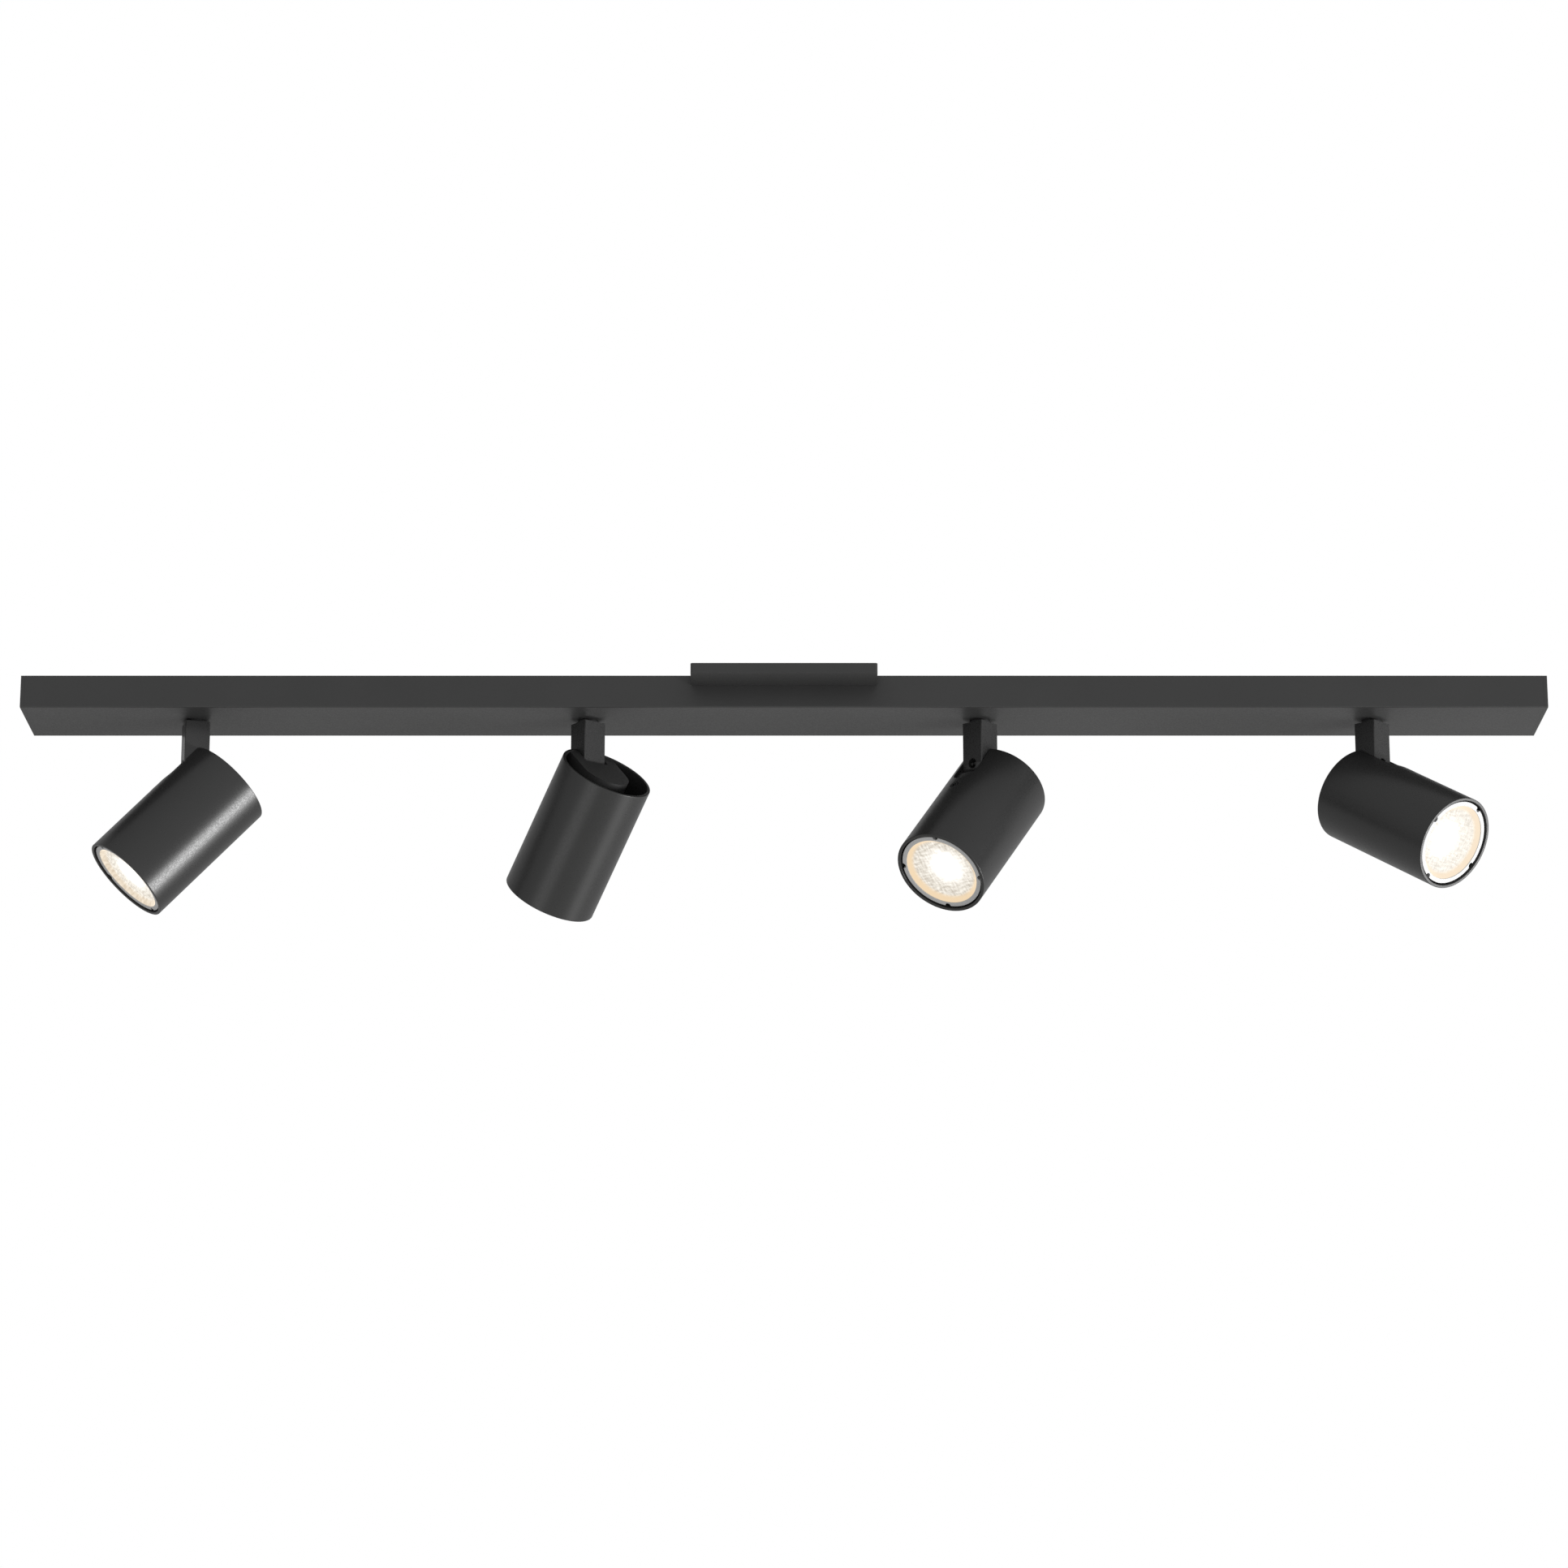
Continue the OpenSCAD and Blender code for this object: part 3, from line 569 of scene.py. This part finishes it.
# where the burner shines through each glass, across it
BURNER_PLACE = {1: (0, 4 * MM), 2: (0, 0), 3: (1.5 * MM, 3.5 * MM), 4: (0.5 * MM, -6 * MM)}


def glass_height(x, y, lamp, radius):
    """Height of the glass's front over its flat back: the floor, a dome of crown times one less the square of r over
    the pattern's reach, and pressed dimples in a triangular net, the mean of three cosines along directions 60
    degrees apart, fading out at the reach. From there a plain band slopes up to the rim."""
    reach = radius - lamp.band
    far = np.hypot(x, y)
    inside = np.clip(1 - (far / reach) ** 2, 0, 1)
    waves = [np.cos(2 * math.pi * (x * math.cos(turn) + y * math.sin(turn)) / lamp.pitch)
             for turn in np.radians([0, 60, 120])]
    fade = np.clip((reach - far) / lamp.pitch, 0, 1)
    slope = np.clip((far - reach) / lamp.band, 0, 1)
    return lamp.floor + lamp.crown * inside + lamp.relief * fade * sum(waves) / 3 + (lamp.rim - lamp.floor) * slope


def glass_mesh(lamp, radius):
    """Closed disc of the lamp's glass: rings of points round one pole, up to the rim, down its side and in to the
    pole of the flat back, which is at height 0. A point is (r cos a, r sin a, -height)."""
    front = radius * np.sqrt(np.linspace(0, 1, GLASS_RINGS + 1))[1:]
    back = radius * np.linspace(1, 0, BACK_RINGS + 1)[:-1]
    far = np.concatenate([front, back])[:, None]
    angle = np.linspace(0, 2 * math.pi, GLASS_COLUMNS, endpoint=False)
    x, y = far * np.cos(angle), far * np.sin(angle)
    z = np.where(np.arange(len(far))[:, None] < len(front), -glass_height(x, y, lamp, radius), 0)
    rings = np.stack([x, y, z], axis=-1).reshape(-1, 3)
    pole = np.array([[0, 0, -glass_height(0.0, 0.0, lamp, radius)], [0, 0, 0]])
    number = np.arange(len(rings)).reshape(len(far), -1)
    quads = grid_faces(number[:-1], number[1:])
    first, last = number[0], number[-1]
    fans = np.concatenate([
        np.stack([np.roll(first, -1), first, np.full(GLASS_COLUMNS, len(rings))], axis=-1),
        np.stack([last, np.roll(last, -1), np.full(GLASS_COLUMNS, len(rings) + 1)], axis=-1)])
    return np.concatenate([rings, pole]), quads, fans


def map_face(piece, across, radius):
    """UV map named face: a point's place across the glass, from -1 to 1 in both directions."""
    mesh = piece.data
    corner = np.empty(len(mesh.loops), int)
    mesh.loops.foreach_get("vertex_index", corner)
    mesh.uv_layers.new(name="face").uv.foreach_set("vector", (across[corner, :2] / radius).ravel())


def crossed_streaks(tree, place):
    """Linen of streaks from 0 to 1: the mean of two noises, each drawn out along its own way."""
    streaks = []
    for stretch in STREAK_STRETCH:
        drawn = add_node(tree, "ShaderNodeVectorMath", {0: place, 1: stretch}, operation="MULTIPLY")
        streaks.append(grain(tree, drawn.outputs["Vector"], STREAK_PITCH))
    both = add_node(tree, "ShaderNodeMath", {0: streaks[0], 1: streaks[1]})
    mean = add_node(tree, "ShaderNodeMath", {0: both.outputs[0], 1: 0.5}, operation="MULTIPLY")
    return spread(tree, mean.outputs[0], STREAK_LOW, STREAK_HIGH)


def lit_glass(name, lamp, radius, k):
    """Pressed borosilicate glass over a burning lamp: a blinding middle that falls off to a fine warm-grey linen of
    crossed streaks, and a plain peach band where only stray light leaves the glass. The lamp's own light drowns most
    of the gloss, so the specular level is low."""
    material, tree, shader = start_material(name, linear("#4a463f"), 0.16, IOR=1.47, **{
        "Specular IOR Level": 0.06, "Emission Strength": 1.0})
    face = add_node(tree, "ShaderNodeUVMap", uv_map="face").outputs["UV"]
    place = add_node(tree, "ShaderNodeVectorMath", {0: face, 1: (radius, radius, radius)},
                     operation="MULTIPLY").outputs["Vector"]
    # the middle of the light, from where the burner stands behind this glass, out to where the linen is full
    burner = add_node(tree, "ShaderNodeVectorMath", {0: place, 1: (*BURNER_PLACE[k], 0)}, operation="DISTANCE")
    zone = add_node(tree, "ShaderNodeMapRange", {
        "Value": burner.outputs["Value"], "From Min": lamp.hot_radius, "From Max": lamp.hot_radius + HOT_FADE},
        interpolation_type="SMOOTHSTEP").outputs["Result"]
    dark = add_node(tree, "ShaderNodeMath", {0: zone, 1: crossed_streaks(tree, place)}, operation="MULTIPLY")
    bright = mix_colours(tree, zone, rgba(lamp.hot, HOT_GAIN), rgba(lamp.pale))
    linen = mix_colours(tree, dark.outputs[0], bright, rgba(lamp.shade))
    # the plain band at the rim, and this lamp's glare over it all
    far = add_node(tree, "ShaderNodeVectorMath", {0: place}, operation="LENGTH")
    reach = radius - lamp.band
    band = add_node(tree, "ShaderNodeMapRange", {
        "Value": far.outputs["Value"], "From Min": reach - BAND_INWARD, "From Max": reach + BAND_OUTWARD,
        "To Max": lamp.peach[k - 1]})
    light = mix_colours(tree, band.outputs["Result"], linen, rgba(lamp.warm))
    washed = mix_colours(tree, lamp.glare[k - 1], light, rgba(lamp.hot))
    tree.links.new(washed, shader.inputs["Emission Color"])
    return material


def glass_place(k):
    """Middle of the back of lamp k's glass, its turn and its radius, from its CAD node."""
    pivot, turn = head_axes(k)
    low, high = local_box(f"lamp_glass_{k}", k)
    middle = (low + high) / 2
    return pivot + np.array([middle[0], middle[1], high[2]]) @ turn, turn, (high[1] - low[1]) / 2


# ---- operators ----
class BARLIGHT_OT_bar(bpy.types.Operator):
    """Coat the bar, its end caps and the canopy"""

    bl_idname = "barlight.bar"
    bl_label = "Bar and canopy"

    def execute(self, context):
        finish = context.scene.bar_light.finish
        names = ("bar_casing", "end_cap_left", "end_cap_right", "canopy")
        coat = powder_coat("powder_coated_steel", finish.coat, finish.grain_pitch, roughness=0.45, depth=0.018 * MM)
        paint(coat, *names)
        soften(finish.edge_radius * FITTED_EDGE, *names)
        return {"FINISHED"}


class BARLIGHT_OT_hardware(bpy.types.Operator):
    """Finish the straps, brackets, screws, washers, nuts and pins"""

    bl_idname = "barlight.hardware"
    bl_label = "Hardware"

    def execute(self, context):
        finish = context.scene.bar_light.finish
        plated = ["mounting_strap", "canopy_screws", "end_bracket_left", "end_bracket_right",
                  *of_heads("lock_nut", "hinge_pins")]
        black = ["end_screws", *of_heads("head_screws")]
        # bright zinc plate: a bluish pale grey with blurred reflections
        paint(metal("zinc_plated_steel", linear("#b9bcc0"), 0.34), *plated)
        # blackened by hot caustic salts: a dark oxide film that still shines like metal
        paint(metal("black_oxide_steel", linear("#3a3a3c"), 0.36), *black)
        # moulded nylon: a dull, slightly waxy black
        paint(moulded("black_nylon", linear("#1d1d1e"), 0.55, IOR=1.53), "friction_washers")
        soften(finish.edge_radius * PLATED_EDGE, *plated, *black, "friction_washers")
        return {"FINISHED"}


class BARLIGHT_OT_wiring(bpy.types.Operator):
    """Finish the terminal block, its screws, the earth terminal, the leads and their clips"""

    bl_idname = "barlight.wiring"
    bl_label = "Wiring"

    def execute(self, context):
        finish = context.scene.bar_light.finish
        # moulded polyamide: a warm milky white with a soft sheen
        paint(moulded("white_polyamide", linear("#e6e2d8"), 0.42, IOR=1.53), "terminal_block", "lead_clips")
        # thin nickel over brass: yellowish, with clear reflections
        paint(metal("nickelled_brass", linear(BRASS), 0.3), "terminal_screws")
        paint(self.earth_material(), "earth_terminal")
        # extruded PVC: an even colour with a smooth, slightly rubbery shine
        paint(moulded("black_pvc", linear("#1a1a1a"), 0.4, IOR=1.53), "live_leads", *of_heads("post_leads"))
        paint(moulded("white_pvc", linear("#e2e2de"), 0.4, IOR=1.53), "neutral_leads")
        soften(finish.edge_radius * SMALL_EDGE, "terminal_block", "lead_clips", "terminal_screws")
        return {"FINISHED"}

    @staticmethod
    def earth_material():
        """Brass stud, nut and lug, and a lead of green PVC with a yellow stripe, told apart by place: the lead is all
        that lies above the lug and short of the nut."""
        nut_reach, lug_top, stripe_side = 9 * MM, 1.02 * MM, 0.3 * MM
        low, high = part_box("earth_terminal")
        material, tree, shader = start_material("earth_brass_and_pvc", linear(BRASS), 0.32)
        place = add_node(tree, "ShaderNodeSeparateXYZ", {0: object_point(tree)}).outputs
        short = add_node(tree, "ShaderNodeMath", {0: place["X"], 1: high.x - nut_reach}, operation="LESS_THAN")
        above = add_node(tree, "ShaderNodeMath", {0: place["Z"], 1: low.z + lug_top}, operation="GREATER_THAN")
        lead = add_node(tree, "ShaderNodeMath", {0: short.outputs[0], 1: above.outputs[0]}, operation="MULTIPLY")
        stripe = add_node(tree, "ShaderNodeMath", {0: place["Y"], 1: stripe_side}, operation="GREATER_THAN")
        cover = mix_colours(tree, stripe.outputs[0], rgba(linear("#2f7d3b")), rgba(linear("#e3c832")))
        colour = mix_colours(tree, lead.outputs[0], rgba(linear(BRASS)), cover)
        tree.links.new(colour, shader.inputs["Base Color"])
        bare = add_node(tree, "ShaderNodeMath", {0: 1.0, 1: lead.outputs[0]}, operation="SUBTRACT")
        tree.links.new(bare.outputs[0], shader.inputs["Metallic"])
        return material


class BARLIGHT_OT_posts(bpy.types.Operator):
    """Coat the square posts and soften their edges"""

    bl_idname = "barlight.posts"
    bl_label = "Posts"

    def execute(self, context):
        finish = context.scene.bar_light.finish
        coat = powder_coat("powder_coated_post", finish.coat, finish.grain_pitch, roughness=0.3, depth=0.01 * MM)
        paint(coat, *of_heads("post"))
        soften(finish.edge_radius * SMALL_EDGE, *of_heads("post"))
        return {"FINISHED"}


class BARLIGHT_OT_tubes(bpy.types.Operator):
    """Build the lamp tubes with their slots, screw holes and rounded rims"""

    bl_idname = "barlight.tubes"
    bl_label = "Tubes"

    def execute(self, context):
        finish, size = context.scene.bar_light.finish, context.scene.bar_light.tube
        coat = powder_coat("satin_powder_coated_tube", finish.tube_coat, finish.grain_pitch,
                           roughness=0.33, depth=0.013 * MM)
        for k in HEADS:
            centre, turn, radius, length = tube_place(k)
            points, quads = tube_mesh(size, radius - size.inside, length)
            piece = make_piece(f"lamp_tube_{k}", centre + points @ turn, quads, coat)
            piece.modifiers.new("flat shading", "WEIGHTED_NORMAL").weight = FLAT_WEIGHT
            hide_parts(f"tube_{k}")
            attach(piece, f"head_{k}")
        return {"FINISHED"}


class BARLIGHT_OT_carriers(bpy.types.Operator):
    """Coat the cast carriers that hold each tube on its pins"""

    bl_idname = "barlight.carriers"
    bl_label = "Carriers"

    def execute(self, context):
        finish = context.scene.bar_light.finish
        # thinner coat on a sand-rough casting: duller and coarser than the tubes
        coat = powder_coat("black_coated_casting", finish.casting, 1.3 * finish.grain_pitch,
                           roughness=0.46, depth=0.02 * MM)
        paint(coat, *of_heads("carrier"))
        soften(finish.edge_radius, *of_heads("carrier"))
        return {"FINISHED"}


class BARLIGHT_OT_lamps(bpy.types.Operator):
    """Build the lit glass of each lamp and finish its holder, reflector and collar"""

    bl_idname = "barlight.lamps"
    bl_label = "Lamps"

    def execute(self, context):
        finish, lamp = context.scene.bar_light.finish, context.scene.bar_light.lamp
        # glazed steatite: creamy white ceramic with a wet shine
        porcelain = moulded("glazed_steatite", linear("#ece6da"), 0.28, pitch=1.5 * MM, IOR=1.54)
        # aluminium vapour on glass: a silvery mirror, nearly even
        reflector = metal("aluminised_glass", linear("#c8cacc"), 0.2, pitch=2 * MM, drift=0.05)
        # matt anodised ring: an even light grey
        collar = moulded("grey_anodised_collar", finish.collar, 0.42, IOR=1.5)
        for material, part in ((porcelain, "lampholder"), (reflector, "lamp_body"), (collar, "lamp_ring")):
            paint(material, *of_heads(part))
        soften(finish.edge_radius * SMALL_EDGE, *of_heads("lampholder", "lamp_ring"))
        for k in HEADS:
            centre, turn, radius = glass_place(k)
            points, quads, fans = glass_mesh(lamp, radius)
            glass = lit_glass(f"lit_pressed_glass_{k}", lamp, radius, k)
            piece = make_piece(f"lamp_front_{k}", centre + points @ turn, quads, glass, fans)
            map_face(piece, points, radius)
            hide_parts(f"lamp_glass_{k}")
            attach(piece, f"head_{k}")
        return {"FINISHED"}


# ---- stage ----
ROOM_LIGHT = 0.474
# the room's glow towards the viewer: its direction, the cosines to it where the glow starts and where it is full
GLOW_SIDE, GLOW_START, GLOW_FULL, GLOW_LIGHT = (0, -1, 0), 0.0, 0.9, 0.27
BOX_TARGET = (0, 0, -0.08)
# soft boxes: name, place, width and height, watts
SOFT_BOXES = (("key box", (2.4, -0.57, -1.27), (1.3, 0.7), 72),
              ("right box", (2.7, 0.49, -1.08), (1.0, 1.0), 8),
              ("low left box", (-1.4, -1.7, -1.75), (1.2, 1.2), 5.1),
              ("low right box", (1.6, 0.15, -2.0), (1.0, 1.0), 3.6))
FLOOR_COLUMNS = 64
FLOOR_RINGS = (0.5, 6, 4)        # radius of the first and the last, and their number


class BARLIGHT_OT_stage(bpy.types.Operator):
    """Set up the floor, the soft studio light and the camera"""

    bl_idname = "barlight.stage"
    bl_label = "Stage"

    def execute(self, context):
        scene = context.scene
        stage = scene.bar_light.stage
        self.place_camera(scene, stage)
        self.light_world(scene)
        self.lay_floor(stage)
        for name, place, size, power in SOFT_BOXES:
            self.hang_box(scene, name, place, size, power)
        scene.view_settings.view_transform = "Standard"
        return {"FINISHED"}

    @staticmethod
    def place_camera(scene, stage):
        """Camera in front of the bar's middle, below it and looking up at it."""
        data = bpy.data.cameras.new("camera")
        data.lens = stage.lens
        camera = bpy.data.objects.new("camera", data)
        camera.location = (0, -stage.distance, -stage.drop)
        camera.rotation_euler = (math.radians(90) + stage.pitch, 0, 0)
        scene.collection.objects.link(camera)
        scene.camera = camera

    @staticmethod
    def light_world(scene):
        """White backdrop to the eye; as light, a dim room that glows from the viewer's side."""
        world = bpy.data.worlds.new("studio")
        scene.world = world
        world.use_nodes = True
        tree = world.node_tree
        tree.nodes.clear()
        direction = add_node(tree, "ShaderNodeTexCoord").outputs["Generated"]
        along = add_node(tree, "ShaderNodeVectorMath", {0: direction, 1: GLOW_SIDE}, operation="DOT_PRODUCT")
        glow = add_node(tree, "ShaderNodeMapRange", {
            "Value": along.outputs["Value"], "From Min": GLOW_START, "From Max": GLOW_FULL, "To Max": GLOW_LIGHT},
            interpolation_type="SMOOTHSTEP")
        strength = add_node(tree, "ShaderNodeMath", {0: glow.outputs["Result"], 1: ROOM_LIGHT}).outputs[0]
        lit = add_node(tree, "ShaderNodeBackground", {"Color": (1, 1, 1, 1), "Strength": strength})
        seen = add_node(tree, "ShaderNodeBackground", {"Color": (1, 1, 1, 1), "Strength": 1.0})
        path = add_node(tree, "ShaderNodeLightPath")
        both = add_node(tree, "ShaderNodeMixShader", {
            0: path.outputs["Is Camera Ray"], 1: lit.outputs[0], 2: seen.outputs[0]})
        add_node(tree, "ShaderNodeOutputWorld", {"Surface": both.outputs[0]})

    @staticmethod
    def lay_floor(stage):
        """Pale matt floor: a flat disc of rings round its middle, at (r cos a, r sin a)."""
        far = np.linspace(*FLOOR_RINGS)[:, None]
        angle = np.linspace(0, 2 * math.pi, FLOOR_COLUMNS, endpoint=False)
        flat = np.stack(np.broadcast_arrays(far * np.cos(angle), far * np.sin(angle), -stage.floor_drop), axis=-1)
        number = np.arange(flat.size // 3).reshape(flat.shape[:2])
        middle = np.array([[0, 0, -stage.floor_drop]])
        fan = np.stack([number[0], np.roll(number[0], -1), np.full(FLOOR_COLUMNS, number.size)], axis=-1)
        # matt paint: an even, nearly white grey without gloss
        pale, _, _ = start_material("pale_floor", linear("#f4f4f2"), 0.9)
        floor = make_piece("floor", np.concatenate([flat.reshape(-1, 3), middle]),
                           grid_faces(number[:-1], number[1:])[:, ::-1], pale, fan)

    @staticmethod
    def hang_box(scene, name, place, size, power):
        """Rectangular soft box that faces the middle of the bar light and isn't seen itself."""
        data = bpy.data.lights.new(name, "AREA")
        data.shape = "RECTANGLE"
        data.size, data.size_y = size
        data.energy = power
        box = bpy.data.objects.new(name, data)
        box.location = place
        box.rotation_euler = (Vector(BOX_TARGET) - Vector(place)).to_track_quat("-Z", "Y").to_euler()
        box.visible_camera = False
        scene.collection.objects.link(box)


class BARLIGHT_PT_panel(bpy.types.Panel):
    """Lists the bar light's settings and the operators that build it"""

    bl_idname = "BARLIGHT_PT_panel"
    bl_label = "Bar Light"
    bl_space_type = "VIEW_3D"
    bl_region_type = "UI"
    bl_category = "Bar Light"

    def draw(self, context):
        settings = context.scene.bar_light
        for group in (settings.finish, settings.tube, settings.lamp, settings.stage):
            box = self.layout.box()
            for name in type(group).__annotations__:
                box.prop(group, name)
        for operator in OPERATORS:
            self.layout.operator(operator.bl_idname)


OPERATORS = (BARLIGHT_OT_bar, BARLIGHT_OT_hardware, BARLIGHT_OT_wiring, BARLIGHT_OT_posts, BARLIGHT_OT_tubes,
             BARLIGHT_OT_carriers, BARLIGHT_OT_lamps, BARLIGHT_OT_stage)
CLASSES = (FinishSettings, TubeSettings, LampSettings, StageSettings, BarLightSettings, *OPERATORS,
           BARLIGHT_PT_panel)


def register():
    for each in CLASSES:
        bpy.utils.register_class(each)
    bpy.types.Scene.bar_light = bpy.props.PointerProperty(
        type=BarLightSettings, name="Bar light", description="Settings of the bar light")


def unregister():
    del bpy.types.Scene.bar_light
    for each in reversed(CLASSES):
        bpy.utils.unregister_class(each)


def main():
    """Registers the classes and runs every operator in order."""
    register()
    bpy.ops.barlight.bar()
    bpy.ops.barlight.hardware()
    bpy.ops.barlight.wiring()
    bpy.ops.barlight.posts()
    bpy.ops.barlight.tubes()
    bpy.ops.barlight.carriers()
    bpy.ops.barlight.lamps()
    bpy.ops.barlight.stage()


if __name__ == "__main__":
    main()
